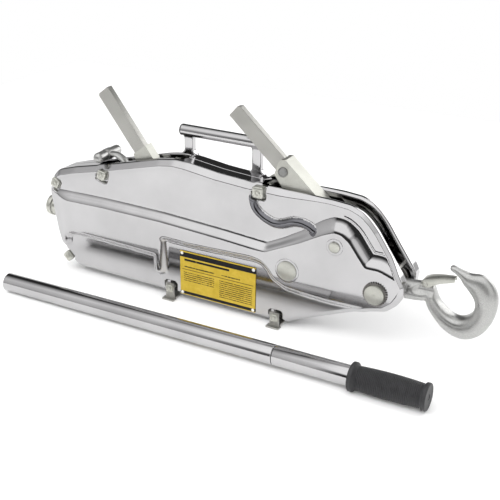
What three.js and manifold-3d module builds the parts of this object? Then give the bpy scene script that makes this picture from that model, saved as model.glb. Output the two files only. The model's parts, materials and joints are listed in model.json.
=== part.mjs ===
// Wire-rope grip puller (come-along winch) with its separate telescopic operating handle.
// Millimetres. X runs along the rope towards the hook, Y to the rear, Z up.
// While the pieces are made, x = 0 is the middle of the data plate, y = 0 is the plane where the two
// covers meet, and z = 0 is the floor. The exported group moves the origin to the bottom centre.
import * as THREE from "three";
import { mergeVertices } from "three/addons/utils/BufferGeometryUtils.js";
import Module from "manifold-3d";

const wasm = await Module();
wasm.setup();

// ---- driving dimensions ----
const GAP = 0.3; // clearance between pieces that touch
const PIN_FIT = 0.1; // clearance round a pin that is pressed into its piece
const FAR = 60; // half width of a cutter that runs right through the part along Y
const SHEET = 3; // thickness of the pressed covers
const PANEL_Y = 30; // half width over the flat panels of the covers
const RAISED_Y = 40; // half width over the raised band and nose
const BOSS_Y = 40.8; // half width over the low bosses round the trunnions and the lever's pin
const EDGE = 6; // rounding of the cover's outer edge
const RAISED_SLOPE = 8; // run of the sloped step round the raised band
const LEVER_SLOT = 13; // half width of the slot for the reverse and release levers
const NOSE_SLOT = 17.3; // half width of the slot for the forward lever and the hook

const ROPE_Z = 105.7; // height of the rope line
const ROPE_CLEAR = 9.5; // radius kept free for the rope
const ANCHOR = { x: 271.5, z: 102.5, r: 15.5 };
const CRANK = { x: 128, z: ROPE_Z, r: 16, boss: 20, arm: 40, restDeg: 17.5 };
const LEVER = { x: 204, z: 162, r: 8.5, boss: 13.3, crank: 22.4, restDeg: 32.5, leanDeg: 48.1 };
const REVERSE = { x: -118, z: 185.5, r: 7, crank: 25, restDeg: 21, leanDeg: 37.8 };
const RELEASE = { x: -172, z: 170, r: 6 };
const ROPE_OUTLET = { x: 291, z: 133, r: 3 };
const PIN_R = 5; // crank pins and rod pins
const BOLT_R = 5; // tie bolts

const ARM_W = 25; // lever arms: flat bar that fits the bore of the operating handle
const ARM_T = 10.8;
const TUBE = { y: -142, r: 15.5, bore: 13.9, x0: -342, joint: 162, grip: 282, x1: 396 };
const INNER_TUBE_R = 13.4;

// Cover outline, seen from the front, counter-clockwise from the lower left: [x, z].
const WALL = [
  [-287, 10], [118, 5], [153, 22], [262, 67], [287, 73], [303, 87], [312, 103], [313, 119],
  [306, 133], [286, 161.5], [264, 193.5], [252, 207], [239, 217.5], [220, 225], [190, 227.5],
  [139, 228.5], [55, 230], [-6, 234], [-60, 241], [-85, 242], [-112, 238], [-143, 230],
  [-230, 207.5], [-284, 195], [-314, 185], [-329, 172], [-334, 150], [-330, 111], [-324, 73],
  [-306, 28],
];
// Raised band and nose of each cover; where it meets the outer wall it runs past it and is trimmed.
const BAND = [
  [-112, 48], [-104, 48], [-104, 108], [-98, 113], [-49, 111.5], [64, 114.4], [81.5, 112],
  [94, 102.7], [104, 88], [124, 77.6], [151, 75], [193, 73], [245, 74], [287, 74], [330, 74],
  [330, 120], [291, 134.6], [274, 140.4], [252, 140], [240, 155], [224.3, 176], [212.5, 184.5],
  [201, 185.5], [185, 178.5], [148, 157.5], [89, 129], [10, 134.7], [-101, 140.5], [-220, 142],
  [-345, 139.5], [-345, 58], [-304, 58], [-304, 70], [-297, 80], [-285, 84], [-225, 83.6],
  [-112, 79.7],
];
// Pressed S-shaped rib on the upper panel.
const S_RIB = [
  [63, 206], [66, 194], [80, 182], [101, 175], [118, 176.5], [129, 184], [146, 186], [160, 181],
];
// Tie bolts that hold the covers together: centre, and turn of the square head.
const TIE_BOLTS = [
  { x: -317, z: 161, turn: 25 }, { x: -222, z: 193, turn: 14 }, { x: -301, z: 31, turn: -45 },
  { x: -90, z: 20, turn: 0 }, { x: 105, z: 16, turn: 0 }, { x: 71, z: 219, turn: 0 },
];
const FEET = [TIE_BOLTS[3], TIE_BOLTS[4]];

// ---- materials ----
const finish = (color, roughness, metalness) =>
  new THREE.MeshStandardMaterial({ color, roughness, metalness });
const CHROME = finish(0xd9d9dc, 0.08, 1);
const ZINC = finish(0xc4c6bb, 0.4, 1);
const STEEL = finish(0x8f9092, 0.35, 1);
const PLATE = finish(0xd0a92c, 0.5, 0.1);
const RUBBER = finish(0x202022, 0.8, 0);

// ---- solids ----
const rad = THREE.MathUtils.degToRad;

function solid(geometry) {
  const bare = geometry.clone();
  bare.deleteAttribute("normal");
  bare.deleteAttribute("uv");
  const merged = mergeVertices(bare, 1e-4);
  return new wasm.Manifold(new wasm.Mesh({
    numProp: 3,
    vertProperties: new Float32Array(merged.attributes.position.array),
    triVerts: new Uint32Array(merged.index.array),
  }));
}

function shapeOf(points) {
  return new THREE.Shape(points.map(([x, z]) => new THREE.Vector2(x, z)));
}

// Outline in X and Z, extruded along Y from y0 to y1.
function plate(points, y0, y1) {
  const g = new THREE.ExtrudeGeometry(shapeOf(points), { depth: y1 - y0, bevelEnabled: false });
  return solid(g.rotateX(Math.PI / 2).translate(0, y1, 0));
}

// The same, y = -half to +half, with a sloped or rounded edge of the given run and rise.
function bevelled(points, half, { run, rise, offset = 0, segments = 1 }) {
  const g = new THREE.ExtrudeGeometry(shapeOf(points), {
    depth: 2 * (half - rise), steps: 1, bevelEnabled: true, bevelThickness: rise,
    bevelSize: run, bevelOffset: offset, bevelSegments: segments,
  });
  return solid(g.rotateX(Math.PI / 2).translate(0, half - rise, 0));
}

function box(x0, x1, y0, y1, z0, z1) {
  const g = new THREE.BoxGeometry(x1 - x0, y1 - y0, z1 - z0);
  return solid(g.translate((x0 + x1) / 2, (y0 + y1) / 2, (z0 + z1) / 2));
}

function rodY(x, z, r, y0, y1, sides = 16) {
  return solid(new THREE.CylinderGeometry(r, r, y1 - y0, sides).translate(x, (y0 + y1) / 2, z));
}

function rodX(y, z, r, x0, x1, sides = 24) {
  const g = new THREE.CylinderGeometry(r, r, x1 - x0, sides).rotateZ(Math.PI / 2);
  return solid(g.translate((x0 + x1) / 2, y, z));
}

// Turned piece: profile points are [distance along X, radius], starting and ending on the axis.
function turnedX(profile, y, z, sides = 24) {
  const points = profile.map(([x, r]) => new THREE.Vector2(r, x));
  const g = new THREE.LatheGeometry(points, sides).rotateZ(-Math.PI / 2);
  return solid(g.translate(0, y, z));
}

// Round rod swept along a curve.
function sweptRod(curve, r, steps, sides = 8) {
  const section = new THREE.Shape();
  for (let i = 0; i < sides; i++) {
    const a = (2 * Math.PI * i) / sides;
    if (i) section.lineTo(r * Math.cos(a), r * Math.sin(a));
    else section.moveTo(r, 0);
  }
  return solid(new THREE.ExtrudeGeometry(section, { steps, extrudePath: curve, bevelEnabled: false }));
}

function curveThrough(points, y) {
  return new THREE.CatmullRomCurve3(points.map(([x, z]) => new THREE.Vector3(x, y, z)));
}

// Straight link with round ends, in the X-Z plane, from a to b.
function linkOutline(a, b, half, steps = 8) {
  const along = Math.atan2(b.z - a.z, b.x - a.x);
  const end = (c, from) => Array.from({ length: steps + 1 }, (_, i) => {
    const t = from + (Math.PI * i) / steps;
    return [c.x + half * Math.cos(t), c.z + half * Math.sin(t)];
  });
  return [...end(b, along - Math.PI / 2), ...end(a, along + Math.PI / 2)];
}

// Point at a distance from a pivot, at an angle from straight up, positive towards the hook.
function fromPivot(pivot, r, deg) {
  return { x: pivot.x + r * Math.sin(rad(deg)), z: pivot.z + r * Math.cos(rad(deg)) };
}

// Outline given along a leaning lever: [distance up the lever, offset towards the hook].
function leaning(pivot, leanDeg, points) {
  const s = Math.sin(rad(leanDeg));
  const c = Math.cos(rad(leanDeg));
  return points.map(([u, v]) => [pivot.x - u * s + v * c, pivot.z + u * c + v * s]);
}

// ---- assembly ----
const puller = new THREE.Group();

function add(name, body, material, group = puller) {
  const m = body.getMesh();
  const g = new THREE.BufferGeometry();
  g.setAttribute("position", new THREE.BufferAttribute(new Float32Array(m.vertProperties), 3));
  g.setIndex(new THREE.BufferAttribute(new Uint32Array(m.triVerts), 1));
  g.computeVertexNormals();
  const mesh = new THREE.Mesh(g, material);
  mesh.name = name;
  group.add(mesh);
}

// ---- covers ----
function pressing(wallInset, panelHalf, raisedHalf) {
  const edge = { run: EDGE, rise: EDGE + 2, offset: -EDGE - wallInset, segments: 2 };
  const step = { run: RAISED_SLOPE, rise: RAISED_Y - PANEL_Y, offset: -wallInset };
  const raised = bevelled(BAND, raisedHalf, step).intersect(bevelled(WALL, raisedHalf, edge));
  return bevelled(WALL, panelHalf, edge).add(raised);
}

function coverPair() {
  const ribCurve = (y) => curveThrough(S_RIB, y);
  let body = pressing(0, PANEL_Y, RAISED_Y);
  for (const side of [-1, 1]) body = body.add(sweptRod(ribCurve(side * PANEL_Y), 4, 16));
  for (const side of [-1, 1]) {
    const [low, high] = side < 0 ? [-BOSS_Y, -RAISED_Y + 1] : [RAISED_Y - 1, BOSS_Y];
    body = body.add(rodY(LEVER.x, LEVER.z, LEVER.boss, low, high, 32));
    body = body.add(rodY(CRANK.x, CRANK.z, CRANK.boss, low, high, 32));
  }
  body = body.subtract(pressing(SHEET, PANEL_Y - SHEET, RAISED_Y - SHEET));
  body = body.subtract(box(-240, -72, -LEVER_SLOT, LEVER_SLOT, 165, 300));
  body = body.subtract(box(64, 340, -NOSE_SLOT, NOSE_SLOT, 150, 300));
  body = body.subtract(box(238, 340, -NOSE_SLOT, NOSE_SLOT, 40, 300));
  body = body.subtract(rodX(0, ROPE_Z, 15 + GAP, -350, -300));
  body = body.subtract(rodY(ANCHOR.x, ANCHOR.z, ANCHOR.r + GAP, -FAR, FAR, 32));
  body = body.subtract(rodY(CRANK.x, CRANK.z, CRANK.r + GAP, -FAR, FAR, 32));
  body = body.subtract(rodY(LEVER.x, LEVER.z, LEVER.r + GAP, -FAR, FAR));
  for (const b of TIE_BOLTS) body = body.subtract(rodY(b.x, b.z, BOLT_R + GAP, -FAR, FAR, 12));
  return body;
}

const covers = coverPair();
add("front_cover", covers.intersect(box(-400, 400, -60, -GAP / 2, -10, 400)), CHROME);
add("rear_cover", covers.intersect(box(-400, 400, GAP / 2, 60, -10, 400)), CHROME);

// ---- fasteners and pins of the casing ----
function tieBolt({ x, z, turn }, headHalf) {
  const head = new THREE.BoxGeometry(2 * headHalf, 6, 2 * headHalf).rotateY(rad(turn));
  let bolt = rodY(x, z, BOLT_R, -PANEL_Y - 3, PANEL_Y + 3, 12);
  for (const side of [-1, 1]) {
    const y = side * (PANEL_Y + GAP + 3);
    bolt = bolt.add(solid(head.clone().translate(x, y, z)));
    bolt = bolt.add(rodY(x, z, 4.5, y - 4, y + 4, 12));
  }
  return bolt;
}

TIE_BOLTS.forEach((b, i) => {
  const isFoot = FEET.includes(b);
  if (!isFoot) add(`tie_bolt_${i + 1}`, tieBolt(b, i === 5 ? 9 : 7.5), ZINC);
});

// Foot: a strap under the casing, up both sides to its tie bolt's head, turned out at the floor.
function foot({ x, z }) {
  const half = 8;
  const legTop = z + 9;
  const out = PANEL_Y + GAP;
  let strap = box(x - half, x + half, -out - 3, out + 3, 0, 3);
  for (const side of [-1, 1]) {
    const [y0, y1] = side < 0 ? [-out - 3, -out] : [out, out + 3];
    const [f0, f1] = side < 0 ? [-out - 11, -out] : [out, out + 11];
    strap = strap.add(box(x - half, x + half, y0, y1, 0, legTop));
    strap = strap.add(box(x - half - 3, x + half + 3, f0, f1, 0, 3));
  }
  return strap.subtract(rodY(x, z, BOLT_R + GAP, -FAR, FAR, 12));
}

function footBolt({ x, z }) {
  let bolt = rodY(x, z, BOLT_R, -PANEL_Y - 8, PANEL_Y + 8, 12);
  for (const side of [-1, 1]) {
    const y = side * (PANEL_Y + 2 * GAP + 5);
    bolt = bolt.add(box(x - 6, x + 6, y - 2, y + 2, z - 6, z + 6));
  }
  return bolt;
}

FEET.forEach((b, i) => {
  add(`foot_${i + 1}`, foot(b), ZINC);
  add(`foot_bolt_${i + 1}`, footBolt(b), ZINC);
});

add("anchor_pin", rodY(ANCHOR.x, ANCHOR.z, ANCHOR.r, -46, 46, 32), ZINC);
[["front", -1], ["rear", 1]].forEach(([end, side]) => {
  const [y0, y1] = side < 0 ? [-43.8, -41.4] : [41.4, 43.8];
  const ring = rodY(ANCHOR.x, ANCHOR.z, 19, y0, y1, 32);
  const bore = rodY(ANCHOR.x, ANCHOR.z, ANCHOR.r + PIN_FIT, -FAR, FAR, 32);
  add(`anchor_retaining_ring_${end}`, ring.subtract(bore), STEEL);
  const [t0, t1] = side < 0 ? [-RAISED_Y - 1.6, -14] : [14, RAISED_Y + 1.6];
  add(`crank_trunnion_${end}`, rodY(CRANK.x, CRANK.z, CRANK.r, t0, t1, 32), ZINC);
});
add("lever_pivot_pin", rodY(LEVER.x, LEVER.z, LEVER.r, -RAISED_Y - 1.6, RAISED_Y + 1.6), ZINC);

// Pins that sit between the two covers, with no head outside.
const INSIDE_Y = PANEL_Y - SHEET - GAP;
add("reverse_pivot_pin", rodY(REVERSE.x, REVERSE.z, REVERSE.r, -INSIDE_Y, INSIDE_Y), STEEL);
add("release_pivot_pin", rodY(RELEASE.x, RELEASE.z, RELEASE.r, -INSIDE_Y, INSIDE_Y), STEEL);
add("rope_outlet_pin", rodY(ROPE_OUTLET.x, ROPE_OUTLET.z, ROPE_OUTLET.r, -INSIDE_Y, INSIDE_Y, 12), ZINC);

const ROPE_BUSH = [
  [-356, ROPE_CLEAR], [-358, 12], [-357, 18.5], [-349, 18.5], [-347, 15], [-304, 15], [-304, ROPE_CLEAR],
];
add("rope_guide_bush", turnedX([...ROPE_BUSH, ROPE_BUSH[0]], 0, ROPE_Z, 28), ZINC);

// ---- carry handle, on the rear cover ----
const CARRY = { y: 20, z: 279, r: 9.5, x0: -95, x1: 66 };
const CARRY_LEG = { half: 6, toe: 10, toeT: 4 };
function carryLeg(x0, x1, base) {
  const [y0, y1] = [CARRY.y - CARRY_LEG.half, CARRY.y + CARRY_LEG.half];
  const saddle = rodX(CARRY.y, CARRY.z, CARRY.r + GAP, x0 - 30, x1 + 30);
  const leg = box(x0, x1, y0, y1, base, CARRY.z);
  const toes = box(x0 - CARRY_LEG.toe, x1 + CARRY_LEG.toe, y0, y1, base, base + CARRY_LEG.toeT);
  return leg.add(toes).subtract(saddle);
}
function carryBar() {
  const bar = rodX(CARRY.y, CARRY.z, CARRY.r, CARRY.x0 + 2, CARRY.x1 - 2);
  return bar.subtract(rodX(CARRY.y, CARRY.z, CARRY.r - 2, CARRY.x0 - 5, CARRY.x1 + 5));
}
function carryPlug(x0, x1, shankX0, shankX1) {
  return rodX(CARRY.y, CARRY.z, CARRY.r, x0, x1).add(rodX(CARRY.y, CARRY.z, 7.2, shankX0, shankX1));
}
add("carry_handle_bar", carryBar(), CHROME);
add("carry_handle_leg_left", carryLeg(-88, -72, 242.4), CHROME);
add("carry_handle_leg_right", carryLeg(34, 52, 232.4), CHROME);
add("carry_handle_plug_left", carryPlug(CARRY.x0 - 2, CARRY.x0 + 2 - GAP, CARRY.x0, CARRY.x0 + 10), RUBBER);
add("carry_handle_plug_right", carryPlug(CARRY.x1 - 2 + GAP, CARRY.x1 + 2, CARRY.x1 - 10, CARRY.x1), RUBBER);

// ---- data plate, with the holes of its four rivets ----
const DATA_PLATE = { x: 70, z0: 14.5, z1: 93, t: 1.2 };
const plateY = -PANEL_Y - GAP;
let dataPlate = box(-DATA_PLATE.x, DATA_PLATE.x, plateY - DATA_PLATE.t, plateY, DATA_PLATE.z0, DATA_PLATE.z1);
for (const x of [-66, 66]) {
  for (const z of [18.5, 89]) dataPlate = dataPlate.subtract(rodY(x, z, 2.3, -60, 0, 10));
}
add("data_plate", dataPlate, PLATE);

// ---- forward lever: arm, channel and shear pin ----
const armTip = 255;
const armOutline = [[62, -ARM_W / 2], [62, ARM_W / 2], [armTip - 4, ARM_W / 2], [armTip, ARM_W / 2 - 4],
  [armTip, -ARM_W / 2]];
const shearPlace = leaning(LEVER, LEVER.leanDeg, [[135, 0]])[0];
const crankPin = fromPivot(LEVER, LEVER.crank, 180 - LEVER.restDeg);
const CHANNEL_Y = 14;
const CHANNEL_T = 4;
const CHANNEL_V = 17; // outer face of its web, beside the arm

function leverChannel() {
  const outer = [
    [-34, -12], [-30, -19], [118, -19], [142, -14], [150, 4], [150, 12], [145, CHANNEL_V],
    [-20, CHANNEL_V], [-34, 10],
  ];
  const web = CHANNEL_V - CHANNEL_T;
  const inner = [[-60, -40], [180, -40], [180, web], [-60, web]];
  const between = CHANNEL_Y - CHANNEL_T;
  let body = plate(leaning(LEVER, LEVER.leanDeg, outer), -CHANNEL_Y, CHANNEL_Y);
  body = body.subtract(plate(leaning(LEVER, LEVER.leanDeg, inner), -between, between));
  body = body.subtract(rodY(LEVER.x, LEVER.z, LEVER.r + GAP, -FAR, FAR));
  body = body.subtract(rodY(shearPlace[0], shearPlace[1], PIN_R + PIN_FIT, -FAR, FAR));
  return body.subtract(rodY(crankPin.x, crankPin.z, PIN_R + PIN_FIT, -FAR, FAR));
}

add("forward_lever_arm", plate(leaning(LEVER, LEVER.leanDeg, armOutline), -ARM_T / 2, ARM_T / 2)
  .subtract(rodY(shearPlace[0], shearPlace[1], PIN_R + PIN_FIT, -FAR, FAR)), ZINC);
add("forward_lever_channel", leverChannel(), ZINC);
add("forward_lever_shear_pin", rodY(shearPlace[0], shearPlace[1], PIN_R, -16, 16), ZINC);
add("forward_lever_crank_pin", rodY(crankPin.x, crankPin.z, PIN_R, -CHANNEL_Y, CHANNEL_Y), STEEL);

// ---- crank on the two trunnions, and the links that turn it ----
const crankTop = fromPivot(CRANK, CRANK.arm, CRANK.restDeg);
const crankLow = fromPivot(CRANK, CRANK.arm, 180 + CRANK.restDeg);
const CHEEK = { y0: 15, y1: 21 };

function crankCheek(side) {
  const [y0, y1] = side < 0 ? [-CHEEK.y1, -CHEEK.y0] : [CHEEK.y0, CHEEK.y1];
  let cheek = plate(linkOutline(crankLow, crankTop, 11), y0, y1).add(rodY(CRANK.x, CRANK.z, 23, y0, y1, 32));
  cheek = cheek.subtract(rodY(CRANK.x, CRANK.z, CRANK.r + GAP, -FAR, FAR, 32));
  for (const p of [crankTop, crankLow]) cheek = cheek.subtract(rodY(p.x, p.z, PIN_R + PIN_FIT, -FAR, FAR));
  return cheek;
}

add("crank_cheek_front", crankCheek(-1), STEEL);
add("crank_cheek_rear", crankCheek(1), STEEL);
add("crank_upper_pin", rodY(crankTop.x, crankTop.z, PIN_R, -CHEEK.y1, CHEEK.y1), STEEL);
add("crank_lower_pin", rodY(crankLow.x, crankLow.z, PIN_R, -CHEEK.y1, CHEEK.y1), STEEL);

// The eye at the lever is a slot, because the lever's pin rises a little in mid stroke.
function driveLink(y0, y1) {
  const slotTop = { x: crankPin.x, z: crankPin.z + 0.3 };
  const slotLow = { x: crankPin.x, z: crankPin.z - 5.6 };
  let link = plate(linkOutline(crankTop, crankPin, 7.4), y0, y1);
  link = link.add(plate(linkOutline(slotLow, slotTop, 7.4), y0, y1));
  link = link.subtract(rodY(crankTop.x, crankTop.z, PIN_R + GAP, -FAR, FAR));
  return link.subtract(plate(linkOutline(slotLow, slotTop, PIN_R + 0.7), -FAR, FAR));
}
add("drive_link_front", driveLink(-9.4, -4.9), STEEL);
add("drive_link_rear", driveLink(4.9, 9.4), STEEL);

// ---- jaw boxes: each a guided box with two grooved jaws, pulled by a rod from the crank ----
const JAW = { half: 20, low: ROPE_Z - 20, high: ROPE_Z + 17, wall: 4, length: 110, lug: 30 };
const ROD = { t: 4.2, eye: 9.5 };

function jawBox(x0, lugX, lugZ) {
  const x1 = x0 + JAW.length;
  let body = box(x0, x1, -JAW.half, JAW.half, JAW.low, JAW.high);
  body = body.subtract(box(x0 - 10, x1 + 10, -JAW.half + JAW.wall, JAW.half - JAW.wall,
    JAW.low + JAW.wall, JAW.high - JAW.wall));
  const up = lugZ > ROPE_Z;
  const [z0, z1] = up ? [JAW.high - 1, lugZ + 10] : [lugZ - 10, JAW.low + 1];
  for (const side of [-1, 1]) {
    const [y0, y1] = side < 0 ? [-11, -ROD.t - 0.8] : [ROD.t + 0.8, 11];
    body = body.add(box(lugX - 12, lugX + 12, y0, y1, z0, z1));
  }
  return body.subtract(rodY(lugX, lugZ, PIN_R + PIN_FIT, -FAR, FAR));
}

function jaw(x0, upper) {
  const x1 = x0 + JAW.length - 16;
  const inner = JAW.half - JAW.wall - GAP;
  const between = JAW.wall + GAP;
  const [z0, z1] = upper ? [ROPE_Z + 2.5, JAW.high - between] : [JAW.low + between, ROPE_Z - 2.5];
  return box(x0 + 8, x1 + 8, -inner, inner, z0, z1).subtract(rodX(0, ROPE_Z, ROPE_CLEAR, x0, x1 + 20, 16));
}

function pullRod(lugX, z, pin) {
  const rod = plate(linkOutline({ x: lugX, z }, pin, ROD.eye), -ROD.t, ROD.t);
  const atCrank = rodY(pin.x, pin.z, PIN_R + 2, -FAR, FAR, 24);
  return rod.subtract(atCrank).subtract(rodY(lugX, z, PIN_R + PIN_FIT, -FAR, FAR));
}

function jawUnit(name, x0, lugX, pin) {
  const rodZAtBox = pin.z;
  add(`${name}_jaw_box`, jawBox(x0, lugX, rodZAtBox), STEEL);
  add(`${name}_upper_jaw`, jaw(x0, true), STEEL);
  add(`${name}_lower_jaw`, jaw(x0, false), STEEL);
  add(`${name}_pull_rod`, pullRod(lugX, rodZAtBox, pin), STEEL);
  add(`${name}_rod_pin`, rodY(lugX, rodZAtBox, PIN_R, -11, 11), STEEL);
}
jawUnit("near", -52, 30, crankLow);
jawUnit("far", -262, -176, crankTop);

// ---- reverse lever and the bar it shifts ----
const REVERSE_TIP = 182;
const reversePin = fromPivot(REVERSE, REVERSE.crank, 180 - REVERSE.restDeg);

function reverseArm() {
  const half = ARM_W / 2;
  const outline = [[10, -half], [10, half], [REVERSE_TIP, half], [REVERSE_TIP, -half + 3],
    [REVERSE_TIP - 3, -ARM_W / 2]];
  return plate(leaning(REVERSE, REVERSE.leanDeg, outline), -ARM_T / 2, ARM_T / 2);
}

function reverseHub() {
  const block = [[-14, -15], [62, -15], [70, -13], [70, 16.5], [40, 16.5], [-14, 15]];
  let hub = plate(leaning(REVERSE, REVERSE.leanDeg, block), -9, 9);
  hub = hub.add(plate(linkOutline(REVERSE, reversePin, 11), -9, 9));
  const bore = ARM_W / 2 + GAP;
  const socket = [[9, -bore], [90, -bore], [90, bore], [9, bore]];
  hub = hub.subtract(plate(leaning(REVERSE, REVERSE.leanDeg, socket), -ARM_T / 2 - GAP, ARM_T / 2 + GAP));
  const fork = rodY(REVERSE.x, REVERSE.z, 60, -4.5, 4.5).subtract(rodY(REVERSE.x, REVERSE.z, 15.5, -9, 9));
  hub = hub.subtract(fork.intersect(box(-400, 400, -9, 9, 0, REVERSE.z - 2)));
  hub = hub.subtract(rodY(reversePin.x, reversePin.z, PIN_R - 1 + PIN_FIT, -FAR, FAR));
  return hub.subtract(rodY(REVERSE.x, REVERSE.z, REVERSE.r + GAP, -FAR, FAR));
}

function reverseBar() {
  const z = reversePin.z;
  const bar = box(reversePin.x - 10, reversePin.x + 110, -4, 4, z - 6.5, z + 6.5);
  const slot = linkOutline({ x: reversePin.x, z: z - 2 }, { x: reversePin.x, z: z + 0.2 }, PIN_R - 1 + 0.5);
  return bar.subtract(plate(slot, -FAR, FAR));
}

add("reverse_lever_arm", reverseArm(), ZINC);
add("reverse_lever_hub", reverseHub(), ZINC);
add("reverse_crank_pin", rodY(reversePin.x, reversePin.z, PIN_R - 1, -9, 9), STEEL);
add("reverse_shift_bar", reverseBar(), STEEL);

// ---- release lever: curved stem, T-bar and the cam that opens the jaws ----
const T_BAR = { x: -230, z: 220.5, r: 8.5, half: 25 };
function releaseStem() {
  const bend = [[-230, 220.5], [-212, 225], [-196, 217], [-186, 201], [-180, 185], [-173, 171]];
  const path = curveThrough(bend, 0);
  let stem = sweptRod(path, 6, 16, 10).add(rodY(RELEASE.x, RELEASE.z, 11, -7, 7, 24));
  stem = stem.add(rodY(T_BAR.x, T_BAR.z, T_BAR.r + 1.5, -8, 8));
  stem = stem.subtract(rodY(T_BAR.x, T_BAR.z, T_BAR.r + PIN_FIT, -FAR, FAR));
  return stem.subtract(rodY(RELEASE.x, RELEASE.z, RELEASE.r + GAP, -FAR, FAR));
}
function tBar() {
  const bar = rodY(T_BAR.x, T_BAR.z, T_BAR.r, -T_BAR.half + 6, T_BAR.half - 6);
  const tip = (side) => {
    const ball = new THREE.SphereGeometry(T_BAR.r, 24, 12).scale(1, 6 / T_BAR.r, 1);
    return solid(ball.translate(T_BAR.x, side * (T_BAR.half - 6), T_BAR.z));
  };
  return bar.add(tip(-1)).add(tip(1));
}
function releaseCam() {
  const cam = [[-12, -8], [12, -8], [14, 8], [0, 14], [-14, 8]];
  const outline = cam.map(([x, z]) => [RELEASE.x + x, RELEASE.z + z]);
  return plate(outline, 7.5, 13).subtract(rodY(RELEASE.x, RELEASE.z, RELEASE.r + GAP, -FAR, FAR));
}
add("release_lever_stem", releaseStem(), ZINC);
add("release_lever_t_bar", tBar(), ZINC);
add("release_cam", releaseCam(), STEEL);

// ---- hook with its latch ----
const THROAT = { x: 383, z: 114, r: 28 };
const LATCH_PIN = { x: 335, z: 121 };

function arcPoints(c, r, from, to, count) {
  return Array.from({ length: count }, (_, i) => {
    const t = rad(from + ((to - from) * i) / (count - 1));
    return [c.x + r * Math.cos(t), c.z + r * Math.sin(t)];
  });
}

function hookBody() {
  const inner = arcPoints(THROAT, THROAT.r, 60, -200, 14);
  const back = [[337, 92], [352, 70], [368, 54], [385, 46], [402, 46], [420, 56], [433, 73], [441, 97],
    [441, 122], [433, 139], [418, 150], [400, 153], [385, 158], [373, 163], [366, 159], [369, 152],
    [384, 144]];
  const outline = [[268, 88], [310, 89], ...back, ...inner, [346, 127], [326, 127.5], [268, 117]];
  const bend = bevelled(outline, 15.5, { run: 3, rise: 6, offset: -3 });
  let eye = rodY(ANCHOR.x, ANCHOR.z, 28, -15.5, 15.5, 32);
  eye = eye.add(bend);
  eye = eye.subtract(rodY(ANCHOR.x, ANCHOR.z, ANCHOR.r + GAP, -FAR, FAR, 32));
  for (const [y0, y1] of [[-60, -7], [7, 60]]) eye = eye.subtract(box(322, 362, y0, y1, 104, 142));
  return eye.subtract(rodY(LATCH_PIN.x, LATCH_PIN.z, 2.5 + GAP, -FAR, FAR, 12));
}

function latch() {
  const outline = [
    [329, 115], [341, 113], [352, 121], [372, 127], [378, 134], [376, 139], [350, 135], [330, 129],
  ];
  let body = plate(outline, -10, 10);
  body = body.subtract(box(320, 358, -7.6, 7.6, 100, 145));
  body = body.subtract(plate([[350, 100], [400, 100], [400, 130.5], [372, 130.5], [350, 128]], -7.6, 7.6));
  return body.subtract(rodY(LATCH_PIN.x, LATCH_PIN.z, 2.5 + GAP, -FAR, FAR, 12));
}

add("hook", hookBody(), ZINC);
add("hook_latch", latch(), ZINC);
add("hook_latch_pin", rodY(LATCH_PIN.x, LATCH_PIN.z, 2.5, -12, 12, 12), STEEL);

// ---- separate telescopic operating handle, lying on the floor on its end and the grip's flange ----
const handle = new THREE.Group();
const FLANGE_R = 21.5;
handle.position.set(TUBE.x0, TUBE.y, TUBE.r);
handle.rotation.y = -Math.atan((FLANGE_R - TUBE.r) / (TUBE.grip + 3 - TUBE.x0));

// In the handle's own frame x = 0 is the open end of the outer tube, and the axis is y = z = 0.
const TUBE_END = TUBE.joint - TUBE.x0;
const GRIP_START = TUBE.grip - TUBE.x0;
const GRIP_END = TUBE.x1 - TUBE.x0;
const INNER_START = 32;
const GRIP_WALL = 8; // rubber beyond the end of the inner tube
const SOCKET_END = 110; // the open end of the outer tube, a solid of its own

function tubeAlongX(r, bore, x0, x1) {
  return rodX(0, 0, r, x0, x1).subtract(rodX(0, 0, bore, x0 - 5, x1 + 5));
}
function gripProfile() {
  const g = GRIP_START + GAP;
  return [[g, 0], [g, FLANGE_R], [g + 7, FLANGE_R], [g + 9, 17.5], [g + 30, 18.8], [g + 60, 19.3],
    [g + 90, 18.4], [GRIP_END - 8, 17.8], [GRIP_END - 7, 20], [GRIP_END - 1.5, 20], [GRIP_END, 18],
    [GRIP_END, 0]];
}
// The inner tube carries a collar as wide as the outer tube, between the joint and the grip.
function innerTube() {
  const bore = INNER_TUBE_R - 2;
  const collar = tubeAlongX(TUBE.r, bore, TUBE_END + GAP, GRIP_START);
  return tubeAlongX(INNER_TUBE_R, bore, INNER_START, GRIP_END - GRIP_WALL).add(collar);
}
add("handle_socket_end", tubeAlongX(TUBE.r, TUBE.bore, 0, SOCKET_END), CHROME, handle);
add("handle_outer_tube", tubeAlongX(TUBE.r, TUBE.bore, SOCKET_END + GAP, TUBE_END), CHROME, handle);
add("handle_inner_tube", innerTube(), CHROME, handle);
add("handle_grip", turnedX(gripProfile(), 0, 0)
  .subtract(rodX(0, 0, INNER_TUBE_R + GAP, GRIP_START - 5, GRIP_END - GRIP_WALL + GAP)), RUBBER, handle);
puller.add(handle);

// ---- origin at the bottom centre of the whole set ----
const bounds = new THREE.Box3().setFromObject(puller);
const middle = bounds.getCenter(new THREE.Vector3());
puller.position.set(-middle.x, -middle.y, -bounds.min.z);

export default puller;
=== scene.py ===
import json
import math

import bmesh
import bpy
import numpy as np
from mathutils import Matrix, Vector
from mathutils.geometry import delaunay_2d_cdt

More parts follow.
